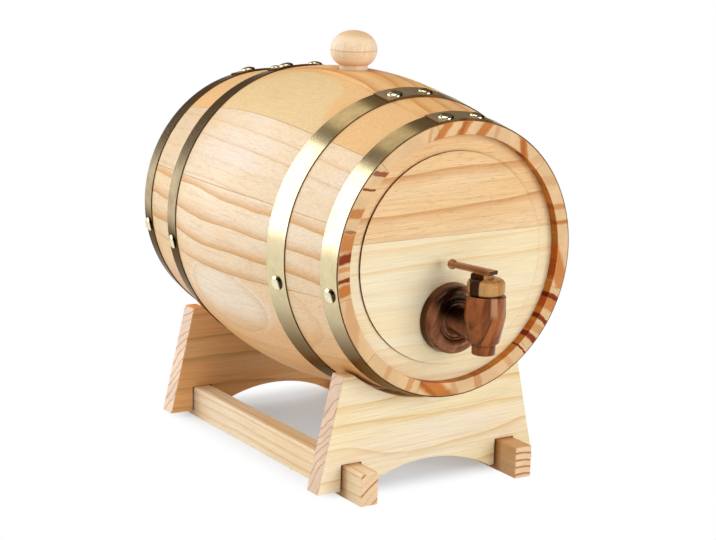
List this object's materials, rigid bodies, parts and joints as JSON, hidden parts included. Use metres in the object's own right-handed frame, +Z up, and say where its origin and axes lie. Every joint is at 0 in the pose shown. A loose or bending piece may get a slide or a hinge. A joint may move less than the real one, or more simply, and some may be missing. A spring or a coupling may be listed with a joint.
{
  "type": "cask liquor dispenser",
  "caption": "Bulging wooden cask lying in a cradle stand, bound with riveted metal hoops, with a lift-out bung on top and a turned wooden tap worked by a quarter-turn key.",
  "frame": {"origin": "middle of the whole dispenser's footprint, on the surface it stands on", "axes": "+Z up; -Y the front, where the tap is; +X to the right of someone who faces the tap; the cask's axis runs along Y"},
  "size_m": [0.1848, 0.267, 0.2486],
  "materials": {
    "stave_wood": "smooth sanded pale pine, satin",
    "head_wood": "smooth sanded pale pine, satin",
    "stand_wood": "smooth sanded pale pine, satin",
    "bung_wood": "turned pale beech, satin",
    "tap_wood": "turned dark walnut, oiled",
    "cork": "natural cork",
    "hoop_brass": "brushed brass-plated strip",
    "rivet_brass": "polished brass-plated domes"
  },
  "bodies": {
    "stand": {"front_cradle": "stand_wood", "rear_cradle": "stand_wood", "left_rail": "stand_wood", "right_rail": "stand_wood"},
    "cask": {"stave_01": "stave_wood", "stave_02": "stave_wood", "stave_03": "stave_wood", "stave_04": "stave_wood", "stave_05": "stave_wood", "stave_06": "stave_wood", "stave_07": "stave_wood", "stave_08": "stave_wood", "stave_09": "stave_wood", "stave_10": "stave_wood", "stave_11": "stave_wood", "stave_12": "stave_wood", "front_head_upper_board": "head_wood", "front_head_lower_board": "head_wood", "rear_head_upper_board": "head_wood", "rear_head_lower_board": "head_wood", "front_chime_hoop": "hoop_brass", "front_quarter_hoop": "hoop_brass", "rear_quarter_hoop": "hoop_brass", "rear_chime_hoop": "hoop_brass", "hoop_lap_rivets": "rivet_brass", "hoop_side_nails": "rivet_brass", "tap_shank": "tap_wood", "tap_body": "tap_wood", "tap_cork_sleeve": "cork"},
    "bung": {"bung": "bung_wood"},
    "tap_key": {"tap_key": "tap_wood", "tap_lever": "tap_wood"}
  },
  "joints": [
    {"name": "cask_lift", "type": "slide", "parent": "stand", "child": "cask", "axis": [0, 0, 1], "range_m": [0, 0.06]},
    {"name": "bung_pull", "type": "slide", "parent": "cask", "child": "bung", "axis": [0, 0, 1], "range_m": [0, 0.03]},
    {"name": "tap_key_turn", "type": "hinge", "parent": "cask", "child": "tap_key", "pos_m": [0, -0.1221, 0.1202], "axis": [0, 0, 1], "range_deg": [0, 90]}
  ]
}
